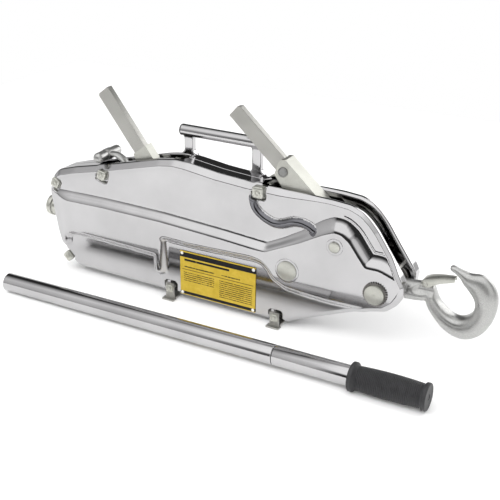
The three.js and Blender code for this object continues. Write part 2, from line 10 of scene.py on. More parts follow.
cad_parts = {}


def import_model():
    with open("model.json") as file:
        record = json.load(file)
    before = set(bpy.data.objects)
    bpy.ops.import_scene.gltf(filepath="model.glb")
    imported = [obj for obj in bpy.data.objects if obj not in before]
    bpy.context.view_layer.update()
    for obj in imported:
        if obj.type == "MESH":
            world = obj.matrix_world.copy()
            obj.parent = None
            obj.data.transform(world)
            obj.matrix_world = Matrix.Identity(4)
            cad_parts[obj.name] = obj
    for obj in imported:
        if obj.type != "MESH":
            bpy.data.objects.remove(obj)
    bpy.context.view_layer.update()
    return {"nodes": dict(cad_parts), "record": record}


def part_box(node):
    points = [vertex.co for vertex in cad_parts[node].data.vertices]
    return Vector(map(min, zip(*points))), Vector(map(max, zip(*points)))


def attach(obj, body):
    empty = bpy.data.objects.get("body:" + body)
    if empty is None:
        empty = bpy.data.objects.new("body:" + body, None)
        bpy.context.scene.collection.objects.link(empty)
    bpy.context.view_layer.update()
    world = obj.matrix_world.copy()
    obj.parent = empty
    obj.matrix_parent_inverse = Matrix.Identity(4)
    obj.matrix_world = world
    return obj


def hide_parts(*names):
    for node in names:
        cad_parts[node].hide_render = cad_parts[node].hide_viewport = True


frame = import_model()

MM = 0.001


def middle(node):
    """Middle of a CAD node's box, in metres in the row frame."""
    low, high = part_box(node)
    return (low + high) / 2


PARTING_Y = (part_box("front_cover")[1].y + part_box("rear_cover")[0].y) / 2
ORIGIN = Vector((middle("data_plate").x, PARTING_Y, 0))


def at(x, y, z):
    """A point of the casing's frame, in metres in the row frame."""
    return ORIGIN + Vector((x, y, z)) * MM


def place(node):
    """Middle of a CAD node, in millimetres in the casing's frame."""
    return (middle(node) - ORIGIN) / MM


# ---- node materials ----
def new_material(name):
    """A node material with its node tree, links and shader."""
    mat = bpy.data.materials.new(name)
    mat.use_nodes = True
    nodes = mat.node_tree.nodes
    return mat, nodes, mat.node_tree.links, nodes["Principled BSDF"]


def coordinates(nodes, links, scale=(1, 1, 1)):
    """Object coordinates, scaled."""
    coord = nodes.new("ShaderNodeTexCoord")
    mapping = nodes.new("ShaderNodeMapping")
    mapping.inputs["Scale"].default_value = scale
    links.new(coord.outputs["Object"], mapping.inputs["Vector"])
    return mapping.outputs["Vector"]


def noise(nodes, links, vector, scale, detail=3.0, roughness=0.5):
    """Noise texture; most of its values lie in NOISE_RANGE."""
    tex = nodes.new("ShaderNodeTexNoise")
    tex.inputs["Scale"].default_value = scale
    tex.inputs["Detail"].default_value = detail
    tex.inputs["Roughness"].default_value = roughness
    links.new(vector, tex.inputs["Vector"])
    return tex.outputs["Fac"]


NOISE_RANGE = (0.3, 0.7)


def remap(nodes, links, value, low, high):
    """Maps a noise's usual range on low to high."""
    node = nodes.new("ShaderNodeMapRange")
    node.inputs["From Min"].default_value, node.inputs["From Max"].default_value = NOISE_RANGE
    node.inputs["To Min"].default_value = low
    node.inputs["To Max"].default_value = high
    links.new(value, node.inputs["Value"])
    return node.outputs["Result"]


def blend(nodes, links, factor, a, b):
    """Mixes two colours; each is an (r, g, b) or another node's output."""
    mix = nodes.new("ShaderNodeMix")
    mix.data_type = "RGBA"
    mix.clamp_factor = True
    links.new(factor, mix.inputs["Factor"])
    for socket, colour in ((mix.inputs["A"], a), (mix.inputs["B"], b)):
        if isinstance(colour, tuple):
            socket.default_value = (*colour, 1)
        else:
            links.new(colour, socket)
    return mix.outputs["Result"]


def paint(nodes, links, shader, tone, dark, light, wear, low, high):
    """Colour from dark to light by one noise, roughness from low to high by another."""
    colour = blend(nodes, links, remap(nodes, links, tone, 0, 1), dark, light)
    links.new(colour, shader.inputs["Base Color"])
    links.new(remap(nodes, links, wear, low, high), shader.inputs["Roughness"])


def bumps(nodes, links, shader, *layers):
    """Adds bump layers, each (value, strength, distance in metres), one on top of the other."""
    last = None
    for value, strength, distance in layers:
        bump = nodes.new("ShaderNodeBump")
        bump.inputs["Strength"].default_value = strength
        bump.inputs["Distance"].default_value = distance
        links.new(value, bump.inputs["Height"])
        if last:
            links.new(last, bump.inputs["Normal"])
        last = bump.outputs["Normal"]
    links.new(last, shader.inputs["Normal"])


CHROME_DARK, CHROME_LIGHT = (0.445, 0.44, 0.445), (0.52, 0.515, 0.52)


def chrome(name="chrome_plate", dull=0.05, wave=0.35, dark=CHROME_DARK, light=CHROME_LIGHT):
    """Bright chrome on pressed steel: faint waviness, fine polishing marks and a few dull smears.

    dull is the least roughness, and wave the strength of the waviness.
    """
    mat, nodes, links, shader = new_material(name)
    shader.inputs["Metallic"].default_value = 1
    here = coordinates(nodes, links)
    smear = noise(nodes, links, here, 9, 4, 0.6)
    paint(nodes, links, shader, smear, dark, light, smear, dull, dull + 0.07)
    marks = noise(nodes, links, coordinates(nodes, links, (30, 30, 900)), 1, 3, 0.6)
    swell = noise(nodes, links, here, 14, 1, 0.4)
    bumps(nodes, links, shader, (swell, wave, 0.0006), (marks, 0.03, 0.00003))
    return mat


def zinc(name="zinc_plate", dark=(0.31, 0.305, 0.29), light=(0.50, 0.495, 0.465), rough=0.33, grain=900):
    """Satin zinc plate with a yellow-green cast and a fine sparkling grain."""
    mat, nodes, links, shader = new_material(name)
    shader.inputs["Metallic"].default_value = 0.92
    here = coordinates(nodes, links)
    fine = noise(nodes, links, here, grain, 2, 0.7)
    broad = noise(nodes, links, here, 35, 4, 0.6)
    paint(nodes, links, shader, fine, dark, light, broad, rough, rough + 0.14)
    bumps(nodes, links, shader, (broad, 0.25, 0.0004), (fine, 0.35, 0.00008))
    return mat


def oiled_steel():
    """Machined steel under a film of oil."""
    mat, nodes, links, shader = new_material("oiled_steel")
    shader.inputs["Metallic"].default_value = 1
    here = coordinates(nodes, links)
    film = noise(nodes, links, here, 60, 5, 0.65)
    cut = noise(nodes, links, coordinates(nodes, links, (1200, 40, 40)), 1, 2, 0.5)
    paint(nodes, links, shader, film, (0.16, 0.15, 0.14), (0.34, 0.33, 0.32), film, 0.28, 0.5)
    bumps(nodes, links, shader, (cut, 0.15, 0.00005))
    return mat


def rubber():
    """Dusty black rubber."""
    mat, nodes, links, shader = new_material("black_rubber")
    here = coordinates(nodes, links)
    dust = noise(nodes, links, here, 120, 5, 0.7)
    fine = noise(nodes, links, here, 2500, 2, 0.5)
    paint(nodes, links, shader, dust, (0.010, 0.010, 0.011), (0.026, 0.026, 0.028), dust, 0.42, 0.62)
    bumps(nodes, links, shader, (fine, 0.3, 0.00006))
    return mat


def maths(nodes, links, operation, a, b=None, c=None):
    """One math node; each input is a number or another node's output."""
    node = nodes.new("ShaderNodeMath")
    node.operation = operation
    for socket, value in zip(node.inputs, (a, b, c)):
        if value is None:
            continue
        if isinstance(value, (int, float)):
            socket.default_value = value
        else:
            links.new(value, socket)
    return node.outputs[0]


def printed_plate():
    """Yellow label plate: black header and foot strips, ruled lines and rows of dashes in place of text."""
    mat, nodes, links, shader = new_material("printed_plate")
    low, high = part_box("data_plate")
    coord = nodes.new("ShaderNodeTexCoord")
    split = nodes.new("ShaderNodeSeparateXYZ")
    links.new(coord.outputs["Object"], split.inputs[0])
    wide, tall = high.x - low.x, high.z - low.z
    u = maths(nodes, links, "MULTIPLY_ADD", split.outputs["X"], 1 / wide, -low.x / wide)
    v = maths(nodes, links, "MULTIPLY_ADD", split.outputs["Z"], 1 / tall, -low.z / tall)

    def times(a, b):
        return maths(nodes, links, "MULTIPLY", a, b)

    def between(value, a, b):
        over = maths(nodes, links, "GREATER_THAN", value, a)
        return times(over, maths(nodes, links, "LESS_THAN", value, b))

    def dashes(rows, u0, u1, v0, v1, density, grain):
        """Rows of broken dashes inside the block u0..u1, v0..v1 of the plate."""
        row = maths(nodes, links, "FRACT", times(v, rows))
        index = maths(nodes, links, "FLOOR", times(v, rows))
        combine = nodes.new("ShaderNodeCombineXYZ")
        links.new(times(u, grain), combine.inputs["X"])
        links.new(times(index, 7.3), combine.inputs["Y"])
        gaps = noise(nodes, links, combine.outputs[0], 1, 2, 0.7)
        broken = maths(nodes, links, "GREATER_THAN", gaps, density)
        block = times(between(u, u0, u1), between(v, v0, v1))
        return times(times(between(row, 0.28, 0.66), broken), block)

    marks = [
        between(v, 0.865, 0.975), between(v, 0.02, 0.085),
        times(between(v, 0.585, 0.597), between(u, 0.03, 0.97)),
        dashes(8, 0.06, 0.66, 0.75, 0.86, 0.34, 34), dashes(16, 0.06, 0.46, 0.625, 0.69, 0.42, 70),
        dashes(16, 0.56, 0.80, 0.625, 0.69, 0.45, 70), dashes(22, 0.05, 0.46, 0.32, 0.545, 0.43, 90),
        dashes(22, 0.53, 0.96, 0.14, 0.545, 0.43, 90),
    ]
    ink = marks[0]
    for mark in marks[1:]:
        ink = maths(nodes, links, "MAXIMUM", ink, mark)
    here = coordinates(nodes, links)
    fade = noise(nodes, links, here, 90, 4, 0.6)
    wear = noise(nodes, links, here, 300, 4, 0.6)
    yellow = blend(nodes, links, remap(nodes, links, fade, 0, 1), (0.48, 0.34, 0.035), (0.60, 0.43, 0.06))
    links.new(blend(nodes, links, ink, yellow, (0.012, 0.012, 0.014)), shader.inputs["Base Color"])
    links.new(remap(nodes, links, wear, 0.34, 0.5), shader.inputs["Roughness"])
    shader.inputs["Metallic"].default_value = 0.1
    shader.inputs["Specular IOR Level"].default_value = 0.15
    bumps(nodes, links, shader, (wear, 0.1, 0.00005))
    return mat


def rivet_white():
    """Pale painted rivet heads."""
    mat, nodes, links, shader = new_material("rivet_white")
    tone = noise(nodes, links, coordinates(nodes, links), 400, 3)
    paint(nodes, links, shader, tone, (0.68, 0.68, 0.66), (0.85, 0.85, 0.83), tone, 0.3, 0.45)
    bumps(nodes, links, shader, (tone, 0.1, 0.00004))
    return mat


CHROME = chrome()
# Darker chrome for the S rib: painted dark reflection, since the rib is the same pressed sheet as the panel
# around it.
RIB_PAINTED_DARK_CHROME = chrome("chrome_plate_rib_painted_dark", 0.04, 0.2, (0.13, 0.13, 0.14), (0.21, 0.21, 0.225))
SATIN_CHROME = chrome("chrome_plate_satin", 0.30, 1.6)
TUBE_CHROME = chrome("tube_chrome", 0.06, 0.08)
ZINC = zinc()
ZINC_LEVER = zinc("zinc_channel", (0.40, 0.40, 0.365), (0.52, 0.52, 0.48), 0.3, 1100)
ZINC_SMOOTH = zinc("zinc_smooth", (0.46, 0.46, 0.42), (0.57, 0.57, 0.52), 0.27, 900)
ZINC_CAST = zinc("zinc_forged", (0.36, 0.36, 0.355), (0.50, 0.50, 0.485), 0.27, 700)
STEEL = oiled_steel()
RUBBER = rubber()
RIVET_WHITE = rivet_white()
RIVET_GREY = zinc("zinc_dull", (0.24, 0.24, 0.235), (0.40, 0.40, 0.39), 0.45, 900)


# ---- mesh tools ----
def make(name, verts, faces, body, slot, material, replaces=(), normals=None):
    """A piece from vertices in millimetres, riding on a CAD body."""
    mesh = bpy.data.meshes.new(name)
    mesh.from_pydata([at(*v) for v in verts], [], [tuple(f) for f in faces])
    mesh.validate()
    mesh.materials.append(material)
    obj = bpy.data.objects.new(name, mesh)
    bpy.context.scene.collection.objects.link(obj)
    if normals is None:
        tidy = bmesh.new()
        tidy.from_mesh(mesh)
        bmesh.ops.recalc_face_normals(tidy, faces=tidy.faces)
        tidy.to_mesh(mesh)
        tidy.free()
    mesh.shade_smooth()
    if normals is None:
        mesh.set_sharp_from_angle(angle=math.radians(40))
    else:
        mesh.normals_split_custom_set_from_vertices([Vector(n) for n in normals])
    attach(obj, body)
    if replaces:
        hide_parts(*replaces)
    return obj


def merged(*meshes):
    """Joins (verts, faces) meshes into one."""
    verts, faces = [], []
    for more_verts, more_faces in meshes:
        start = len(verts)
        verts.extend(more_verts)
        faces.extend([tuple(i + start for i in f) for f in more_faces])
    return verts, faces


def skin(loop_count, count, joined=False):
    """Faces between neighbouring loops of count vertices each; joined adds the last to the first."""
    faces = []
    for k in range(loop_count if joined else loop_count - 1):
        here, there = k * count, (k + 1) % loop_count * count
        for i in range(count):
            j = (i + 1) % count
            faces.append((here + i, here + j, there + j, there + i))
    return faces


def loft(loops):
    """Solid over closed loops of equal length, with one flat face at each end."""
    count = len(loops[0])
    faces = skin(len(loops), count)
    last = (len(loops) - 1) * count
    faces.append(tuple(range(count - 1, -1, -1)))
    faces.append(tuple(last + i for i in range(count)))
    return [v for loop in loops for v in loop], faces


def ring_loft(loops):
    """Solid over closed loops, the last joined to the first, for a turned piece with a hole."""
    return [v for loop in loops for v in loop], skin(len(loops), len(loops[0]), True)


def circle(centre, axis, radius, sides=64):
    """Loop round a point, square to an axis."""
    axis = Vector(axis).normalized()
    side = axis.orthogonal().normalized()
    up = axis.cross(side)
    loop = []
    for i in range(sides):
        t = 2 * math.pi * i / sides
        loop.append(Vector(centre) + (side * math.cos(t) + up * math.sin(t)) * radius)
    return loop


def turned(profile, start, axis, sides=64, hollow=False):
    """Turned piece: profile is [(distance along the axis, radius), ...]."""
    axis = Vector(axis).normalized()
    loops = [circle(Vector(start) + axis * d, axis, max(r, 0.02), sides) for d, r in profile]
    return ring_loft(loops) if hollow else loft(loops)


def rounding(radius, edge, steps=4):
    """Quarter round of a rim: (distance from the end, radius), from the end face outwards."""
    return [(edge * (1 - math.cos(a)), radius - edge * (1 - math.sin(a)))
            for a in np.linspace(0, math.pi / 2, steps)]


def rounded_rod(length, radius, edge):
    """Profile of a rod with rounded rims."""
    rim = rounding(radius, edge)
    return [(0, 0.02)] + rim + [(length - d, r) for d, r in reversed(rim)] + [(length, 0.02)]


def both_ways(half):
    """A whole profile from its half: the half's mirror image, then the half."""
    return [(-d, r) for d, r in half[::-1]] + half


def across(spot, profile, sides=96, hollow=False, side=1):
    """Turned piece on a Y axis through spot."""
    return turned(profile, (spot.x, 0, spot.z), (0, side, 0), sides, hollow)


def capsule(half, radius, dome):
    """Profile of a rod with domed ends."""
    tip = [(half - dome * (1 - math.sin(a)), radius * math.cos(a)) for a in np.linspace(0, math.pi / 2, 9)]
    tip[-1] = (half, 0.02)
    return both_ways(tip)


def finer(rows, steps=4):
    """Rows of numbers filled in with a smooth (Catmull-Rom) curve between them."""
    pts = [np.array(r, float) for r in rows]
    pts = [2 * pts[0] - pts[1]] + pts + [2 * pts[-1] - pts[-2]]
    out = []
    for k in range(1, len(pts) - 2):
        p0, p1, p2, p3 = pts[k - 1:k + 3]
        for t in np.arange(0, 1, 1 / steps):
            out.append(0.5 * (2 * p1 + (p2 - p0) * t + (2 * p0 - 5 * p1 + 4 * p2 - p3) * t ** 2
                              + (3 * p1 - p0 - 3 * p2 + p3) * t ** 3))
    return out + [pts[-2]]


def swept(points, steps=6, sides=28, flat=1.0):
    """Round bar along a curve of (x, z, radius) in the middle plane; flat scales its width along Y."""
    path = finer(points, steps)
    loops = []
    for k, (x, z, r) in enumerate(path):
        a, b = path[max(k - 1, 0)], path[min(k + 1, len(path) - 1)]
        tx, tz = b[0] - a[0], b[1] - a[1]
        size = math.hypot(tx, tz)
        nx, nz = -tz / size, tx / size
        loops.append([(x + nx * r * math.cos(t), flat * r * math.sin(t), z + nz * r * math.cos(t))
                      for t in np.arange(sides) * 2 * math.pi / sides])
    return loft(loops)


def dress(node, material, edge=0.6):
    """Gives a CAD node its material and rounds its edges."""
    obj = frame["nodes"][node]
    obj.data.materials.clear()
    obj.data.materials.append(material)
    if edge:
        weld = obj.modifiers.new("weld", "WELD")
        weld.merge_threshold = 0.01 * MM
        mod = obj.modifiers.new("bevel", "BEVEL")
        mod.width = edge * MM
        mod.segments = 2
        mod.limit_method = "ANGLE"
        mod.angle_limit = math.radians(30)
        mod.harden_normals = True


# ---- covers: pressed shells whose outer face stands off the parting plane by a height over x and z ----
# WALL is a cover's outline, BAND the edge of its raised face and S_RIB the middle of the bent rib above it.
WALL = [
    (-287, 10), (118, 5), (153, 22), (262, 67), (287, 73), (303, 87), (312, 103), (313, 119),
    (306, 133), (286, 161.5), (264, 193.5), (252, 207), (239, 217.5), (220, 225), (190, 227.5),
    (139, 228.5), (55, 230), (-6, 234), (-60, 241), (-85, 242), (-112, 238), (-143, 230),
    (-230, 207.5), (-284, 195), (-317, 185), (-334, 172), (-341, 152), (-335, 111), (-327, 73),
    (-309, 28),
]
BAND = [
    (-112, 48), (-104, 48), (-104, 108), (-98, 113), (-49, 111.5), (64, 114.4), (81.5, 112),
    (94, 102.7), (104, 88), (124, 77.6), (151, 75), (193, 73), (245, 74), (287, 74), (330, 74),
    (330, 120), (291, 134.6), (274, 140.4), (252, 140), (240, 155), (224.3, 176), (212.5, 184.5),
    (201, 185.5), (185, 178.5), (148, 157.5), (89, 129), (10, 134.7), (-101, 140.5), (-220, 142),
    (-345, 139.5), (-345, 58), (-304, 58), (-304, 70), (-297, 80), (-285, 84), (-225, 83.6),
    (-112, 79.7),
]
S_RIB = [(62, 210), (63, 203), (66, 194), (74, 186), (84, 180), (98, 175), (110, 175.5), (120, 179),
         (131, 184), (146, 185), (160, 181), (168, 175)]
PANEL_Y, RAISED_Y = 30.0, 40.0    # heights of the upper panel and of the raised band
NOSE_SINK = 2.5                   # the panel is lower by this at the nose
STEP_RUN, NOSE_RUN = 8, 9         # width of the step down from the band, and how much wider it is at the nose
RIM_DEPTH = 0.9                   # the panel inside the upper rim is lower by this
BEAD_HIGH, BEAD_HALF = 1.6, 3.2   # bead that follows the band's edge at the nose
RECESS_X, RECESS_Z = -112, 84     # right and upper edges of the lower left recess
RECESS_SLOPE = 0.17               # its floor leans in by this share of the way down
RIB_HALF, RIB_HIGH, RIB_SINK = 6.8, 7.5, 1.1    # the S rib's half width, height, and depth below the panel
CHAMFER = 10.0                    # width of the bevelled edge between wall and face
SHOULDER_R, BROW_R = 6.5, 3.0     # roundings below and above that bevel
SHEET = 2.2                       # thickness of the steel
RASTER = 0.75                     # step of the height raster
GRID = 2                          # raster steps between two vertices of the face
SEAM_GAP, SEAM_ROLL = 0.15, 0.9   # half gap between the covers and the radius of their rolled edge
SLOT_GAP, SLOT_ROLL = 12.8, 1.2   # what the slot for the levers adds to them
NOSE_GAP, NOSE_ROLL = 14.5, 4.5   # what the open nose adds
THROAT = 2.3                      # below the hook the gap is wider and the roll tighter by this
LIP = 4.5                         # width of the flat lip inside the rolled edge
DENT_HALF, DENT_CORNER, DENT_DEPTH, DENT_RUN = 11, 4, 5.5, 1.6    # square dent round each clip's head
CLIPS = {  # turn in degrees, half width of the head, and how far its inner and outer faces stand off y = 0
    "tie_bolt_1": (25, 8.2, 22, 29.5), "tie_bolt_2": (14, 8.2, 22, 33.5),
    "tie_bolt_3": (-45, 8.2, 22, 30), "tie_bolt_6": (0, 9.2, 22, 34.5),
    "foot_bolt_1": (0, 6.4, 32, 37.2), "foot_bolt_2": (0, 6.4, 32, 37.2),
}
CLIP_SHIFT = {"tie_bolt_1": Vector((-7, 0, -1)), "tie_bolt_3": Vector((-4.5, 0, -3.5))}


def clip_place(node):
    """Middle of a clip's head: two of them sit a little off their bolt."""
    return place(node) + CLIP_SHIFT.get(node, Vector((0, 0, 0)))


def smooth_loop(points, spacing, sigma):
    """Closed outline resampled evenly and rounded at its corners."""
    pts = np.array(points + [points[0]], float)
    seg = np.hypot(*np.diff(pts, axis=0).T)
    where = np.concatenate([[0], np.cumsum(seg)])
    count = int(where[-1] / spacing)
    s = np.arange(count) * where[-1] / count
    even = np.stack([np.interp(s, where, pts[:, k]) for k in (0, 1)], 1)
    reach = int(3 * sigma / spacing)
    kernel = np.exp(-0.5 * (np.arange(-reach, reach + 1) * spacing / sigma) ** 2)
    kernel /= kernel.sum()
    out = np.zeros_like(even)
    for offset, weight in zip(range(-reach, reach + 1), kernel):
        out += weight * np.roll(even, offset, axis=0)
    return out


def smooth_line(points, spacing, sigma):
    """The same for an open line, followed there and back."""
    return smooth_loop(points + points[-2:0:-1], spacing, sigma)


def distance_to(line, x, z, closed=True):
    """Distance from raster points to a polyline, and whether they are inside it."""
    best = np.full(x.shape, 1e9)
    inside = np.zeros(x.shape, bool)
    ends = np.roll(line, -1, axis=0)
    for (ax, az), (bx, bz) in zip(line, ends):
        dx, dz = bx - ax, bz - az
        t = np.clip(((x - ax) * dx + (z - az) * dz) / max(dx * dx + dz * dz, 1e-9), 0, 1)
        best = np.minimum(best, np.hypot(x - ax - t * dx, z - az - t * dz))
        if closed and az != bz:
            crosses = (az > z) != (bz > z)
            inside ^= crosses & (x < dx * (z - az) / dz + ax)
    return best, inside


def soft_clamp(value, low, high, k_low, k_high):
    """value limited to low..high with rounded corners of reach k_low and k_high."""
    def soft_min(a, b, k):
        h = np.clip(0.5 + 0.5 * (b - a) / k, 0, 1)
        return b + (a - b) * h - k * h * (1 - h)
    return -soft_min(-soft_min(value, high, k_high), -low, k_low)


def ease(v, start, reach):
    """Smooth step from 0 at start to 1 at start + reach."""
    t = np.clip((v - start) / reach, 0, 1)
    return t * t * (3 - 2 * t)


def height_raster():
    """Height of the cover's outer face above the parting plane, on a raster in x and z."""
    xs = np.arange(-345, 333, RASTER)
    zs = np.arange(-8, 264, RASTER)
    x, z = np.meshgrid(xs, zs, indexing="ij")
    dist, inside = distance_to(smooth_loop(BAND, 4, 3.0), x, z)
    signed = np.where(inside, dist, -dist)
    nose = ease(x, 110, 90) * ease(z, 112, 24)
    step = RAISED_Y - PANEL_Y + NOSE_SINK * nose
    run = STEP_RUN + NOSE_RUN * nose
    crown = 3.0 + 3.0 * (1 - ease(x, 60, 40)) * ease(z, 110, 12)
    slope = soft_clamp((signed + 0.5 + run) * step / run, 0.0, step, 3.2 + 5 * nose, crown)
    fade = ease(x, -326, 40)
    height = PANEL_Y + (slope - NOSE_SINK * nose) * (0.12 + 0.88 * fade)
    wall, within = distance_to(smooth_loop(WALL, 4, 3.0), x, z)
    rim = ease(wall, CHAMFER + 1, 6) * ease(z, 120, 15) * ease(-signed, 8, 8) * within
    height -= RIM_DEPTH * rim * (1 - nose)
    bead = np.clip(1 - ((signed + run + 6.5) / BEAD_HALF) ** 2, 0, 1) ** 2
    height += BEAD_HIGH * bead * nose * ease(x, 196, 20) * ease(z, 128, 12) * within
    in_recess = (1 - ease(x, RECESS_X - 4, 8)) * ease(-signed, run, 6)
    height -= RECESS_SLOPE * np.clip(RECESS_Z - z, 0, RECESS_Z - 8) * in_recess
    rib, _ = distance_to(smooth_line(S_RIB, 3, 3.0), x, z, closed=False)
    tube = RIB_HIGH * np.sqrt(np.clip(1 - (rib / RIB_HALF) ** 2, 0, 1))
    height = np.maximum(height, PANEL_Y - RIB_SINK + tube)
    flat = DENT_HALF - DENT_CORNER
    for node, (turn, *_) in CLIPS.items():
        spot = clip_place(node)
        c, s = math.cos(math.radians(turn)), math.sin(math.radians(turn))
        u = (x - spot.x) * c - (z - spot.z) * s
        v = (x - spot.x) * s + (z - spot.z) * c
        away = np.hypot(np.maximum(abs(u) - flat, 0), np.maximum(abs(v) - flat, 0)) - DENT_CORNER
        height = height - DENT_DEPTH * (1 - np.clip((away + 0.2) / DENT_RUN, 0, 1))
    for axis in (0, 1):
        height = 0.25 * np.roll(height, 1, axis) + 0.5 * height + 0.25 * np.roll(height, -1, axis)
    return xs, zs, height


def sampler(xs, zs, field):
    """Bilinear look-up in a raster field."""
    def look(px, pz):
        fx = np.clip((np.asarray(px) - xs[0]) / RASTER, 0, len(xs) - 2)
        fz = np.clip((np.asarray(pz) - zs[0]) / RASTER, 0, len(zs) - 2)
        i, j = fx.astype(int), fz.astype(int)
        a, b = fx - i, fz - j
        low = field[i, j] * (1 - a) + field[i + 1, j] * a
        high = field[i, j + 1] * (1 - a) + field[i + 1, j + 1] * a
        return low * (1 - b) + high * b
    return look


def slot_half(loop):
    """Half width of the gap between the covers, and the roll of its edge, at each outline point."""
    x, z = loop[:, 0], loop[:, 1]
    lever = ease(x, -243, 6) * ease(-x, 69, 6) * (z > 120)
    nose = np.maximum(ease(x, 66, 6) * (z > 130), ease(x, 238, 6))
    throat = nose * ease(-z, -138, 12)
    gap = SEAM_GAP + SLOT_GAP * lever + NOSE_GAP * nose + THROAT * throat
    roll = SEAM_ROLL + SLOT_ROLL * lever + NOSE_ROLL * nose - THROAT * throat
    return gap, roll


def unit(rows):
    """Rows of a table of vectors, each made one long."""
    return rows / np.linalg.norm(rows, axis=1)[:, None]


def edge_rows(outline, out, look_h):
    """Rows of points and normals round a cover: lip, rolled edge, wall, shoulder, bevel and brow."""
    count = len(outline)
    gap, roll = slot_half(outline)
    narrow = 1 - 0.45 * ease(outline[:, 0], 100, 90) * ease(outline[:, 1], 106, 14)
    chamfer, shoulder, brow = CHAMFER * narrow, SHOULDER_R * narrow, BROW_R * narrow
    rows, normals = [], []

    def row(inset, y, side, face):
        """side and face weigh the outward and the +y part of the normal."""
        p = outline - out * np.broadcast_to(inset, count)[:, None]
        rows.append(np.stack([p[:, 0], np.broadcast_to(y, count), p[:, 1]], 1))
        normals.append(unit(np.stack([out[:, 0] * side, np.full(count, face), out[:, 1] * side], 1)))

    row(roll + LIP, gap, 0.0, -1.0)
    for psi in np.linspace(math.pi / 2, 0, 6):
        row(roll * (1 - math.cos(psi)), gap + roll * (1 - math.sin(psi)), math.cos(psi), -math.sin(psi))
    edge_h = look_h(*(outline - out * (chamfer + 1)[:, None]).T)
    drop = chamfer + math.tan(math.pi / 8) * (shoulder - brow)
    for share in (0.33, 0.66):
        row(0, gap + roll + share * (edge_h - drop - gap - roll), 1.0, 0.0)
    for phi in np.linspace(0, math.pi / 4, 6):
        y = edge_h - drop + shoulder * math.sin(phi)
        row(shoulder * (1 - math.cos(phi)), y, math.cos(phi), math.sin(phi))
    for phi in np.linspace(math.pi / 4, math.pi / 2, 5):
        inset = chamfer - brow * math.cos(phi)
        row(inset, edge_h - brow * (1 - math.sin(phi)), math.cos(phi), math.sin(phi))
    return rows, normals


def cover_shell():
    """Vertices (x, height, z), faces and normals of one cover, as a closed sheet."""
    xs, zs, height = height_raster()
    look_h, look_gx, look_gz = (sampler(xs, zs, field) for field in (height, *np.gradient(height, RASTER)))
    outline = smooth_loop(WALL, 2.5, 3.2)
    count = len(outline)
    tangent = unit(np.roll(outline, -1, axis=0) - np.roll(outline, 1, axis=0))
    out = np.stack([tangent[:, 1], -tangent[:, 0]], 1)
    rows, normals = edge_rows(outline, out, look_h)
    faces = skin(len(rows), count)
    ring_start = (len(rows) - 1) * count
    ring = rows[-1][:, [0, 2]]
    gx, gz = np.meshgrid(xs[::GRID], zs[::GRID], indexing="ij")
    dist, inside = distance_to(ring, gx, gz)
    keep = inside & (dist > 1.1)
    inner = np.stack([gx[keep], gz[keep]], 1)
    points = np.concatenate([ring, inner])
    edges = [(i, (i + 1) % count) for i in range(count)]
    _, _, panel, origins, _, _ = delaunay_2d_cdt([Vector(p) for p in points], edges, [], 1, 1e-5)
    faces += [tuple(ring_start + origins[i][0] for i in f) for f in panel]
    verts = np.concatenate(rows + [np.stack([inner[:, 0], look_h(*inner.T), inner[:, 1]], 1)])
    slopes = np.stack([-look_gx(*inner.T), np.ones(len(inner)), -look_gz(*inner.T)], 1)
    normals = np.concatenate(normals + [unit(slopes)])
    total = len(verts)
    verts = np.concatenate([verts, verts - normals * SHEET])
    both = faces + [tuple(i + total for i in reversed(f)) for f in faces]
    both += [(i, i + total, (i + 1) % count + total, (i + 1) % count) for i in range(count)]
    return verts, both, np.concatenate([normals, -normals])


RIB_PAINTED_DARK_SLOT, RECESS_SLOT = 1, 2    # material slots of a cover, after its chrome: the rib's painted dark reflection, then the duller recess


def make_cover(name, side, shell):
    """One cover, with a darker chrome on its rib as painted dark reflection, and a duller one in its lower
    recess.
    """
    verts, faces, normals = shell
    turn = np.array([1, side, 1])
    out = faces if side < 0 else [tuple(reversed(f)) for f in faces]
    obj = make(name + "_pressing", verts * turn, out, "casing", "chrome", CHROME, [name],
               normals=normals * turn)
    obj.data.materials.append(RIB_PAINTED_DARK_CHROME)
    obj.data.materials.append(SATIN_CHROME)
    middles = np.array([(p.center - ORIGIN) / MM for p in obj.data.polygons])
    # The rib's faces take the darker chrome: a painted dark reflection, not a different metal.
    near = np.flatnonzero(abs(middles[:, 1]) > PANEL_Y - 0.6)
    away, _ = distance_to(smooth_line(S_RIB, 3, 3.0), middles[near, 0], middles[near, 2], closed=False)
    for i in near[away < RIB_HALF - 0.3]:
        obj.data.polygons[int(i)].material_index = RIB_PAINTED_DARK_SLOT
    low_left = (middles[:, 0] < RECESS_X) & (middles[:, 2] < RECESS_Z - 4)
    recess = low_left & (abs(middles[:, 1]) < PANEL_Y - 1.4)
    outside = np.array([p.normal.y * side for p in obj.data.polygons]) > 0.8
    for i in np.flatnonzero(recess & outside):
        obj.data.polygons[int(i)].material_index = RECESS_SLOT


SHELL = cover_shell()
make_cover("front_cover", -1, SHELL)
make_cover("rear_cover", 1, SHELL)


# ---- every CAD node starts with its material; detailed pieces replace some below ----
BASE = {"chrome": TUBE_CHROME, "zinc": ZINC, "steel": STEEL, "plate": ZINC_SMOOTH, "rubber": RUBBER}
for subpart in frame["record"]["subparts"]:
    dress(subpart["node"], BASE[subpart["material_slot"]], 0.6)
for node in ("forward_lever_channel", "reverse_lever_hub"):
    dress(node, ZINC_LEVER, 0.9)
for node in ("forward_lever_arm", "reverse_lever_arm"):
    dress(node, ZINC, 0.8)


# ---- casing: bosses, clips and feet ----
TRUNNION = place("crank_trunnion_front")
LEVER_PIN = place("lever_pivot_pin")
ANCHOR = place("anchor_pin")
BOSS_BACK, BOSS_FRONT = 39.2, 40.8


def boss_profile(inner, outer):
    """Flat ring round a pin, its outer rim rounded."""
    rim = [(BOSS_FRONT - d, r) for d, r in rounding(outer, 0.8)]
    bore = [(BOSS_BACK, inner), (BOSS_FRONT - 0.3, inner), (BOSS_FRONT, inner + 0.3)]
    return bore + rim + [(BOSS_BACK, outer)]


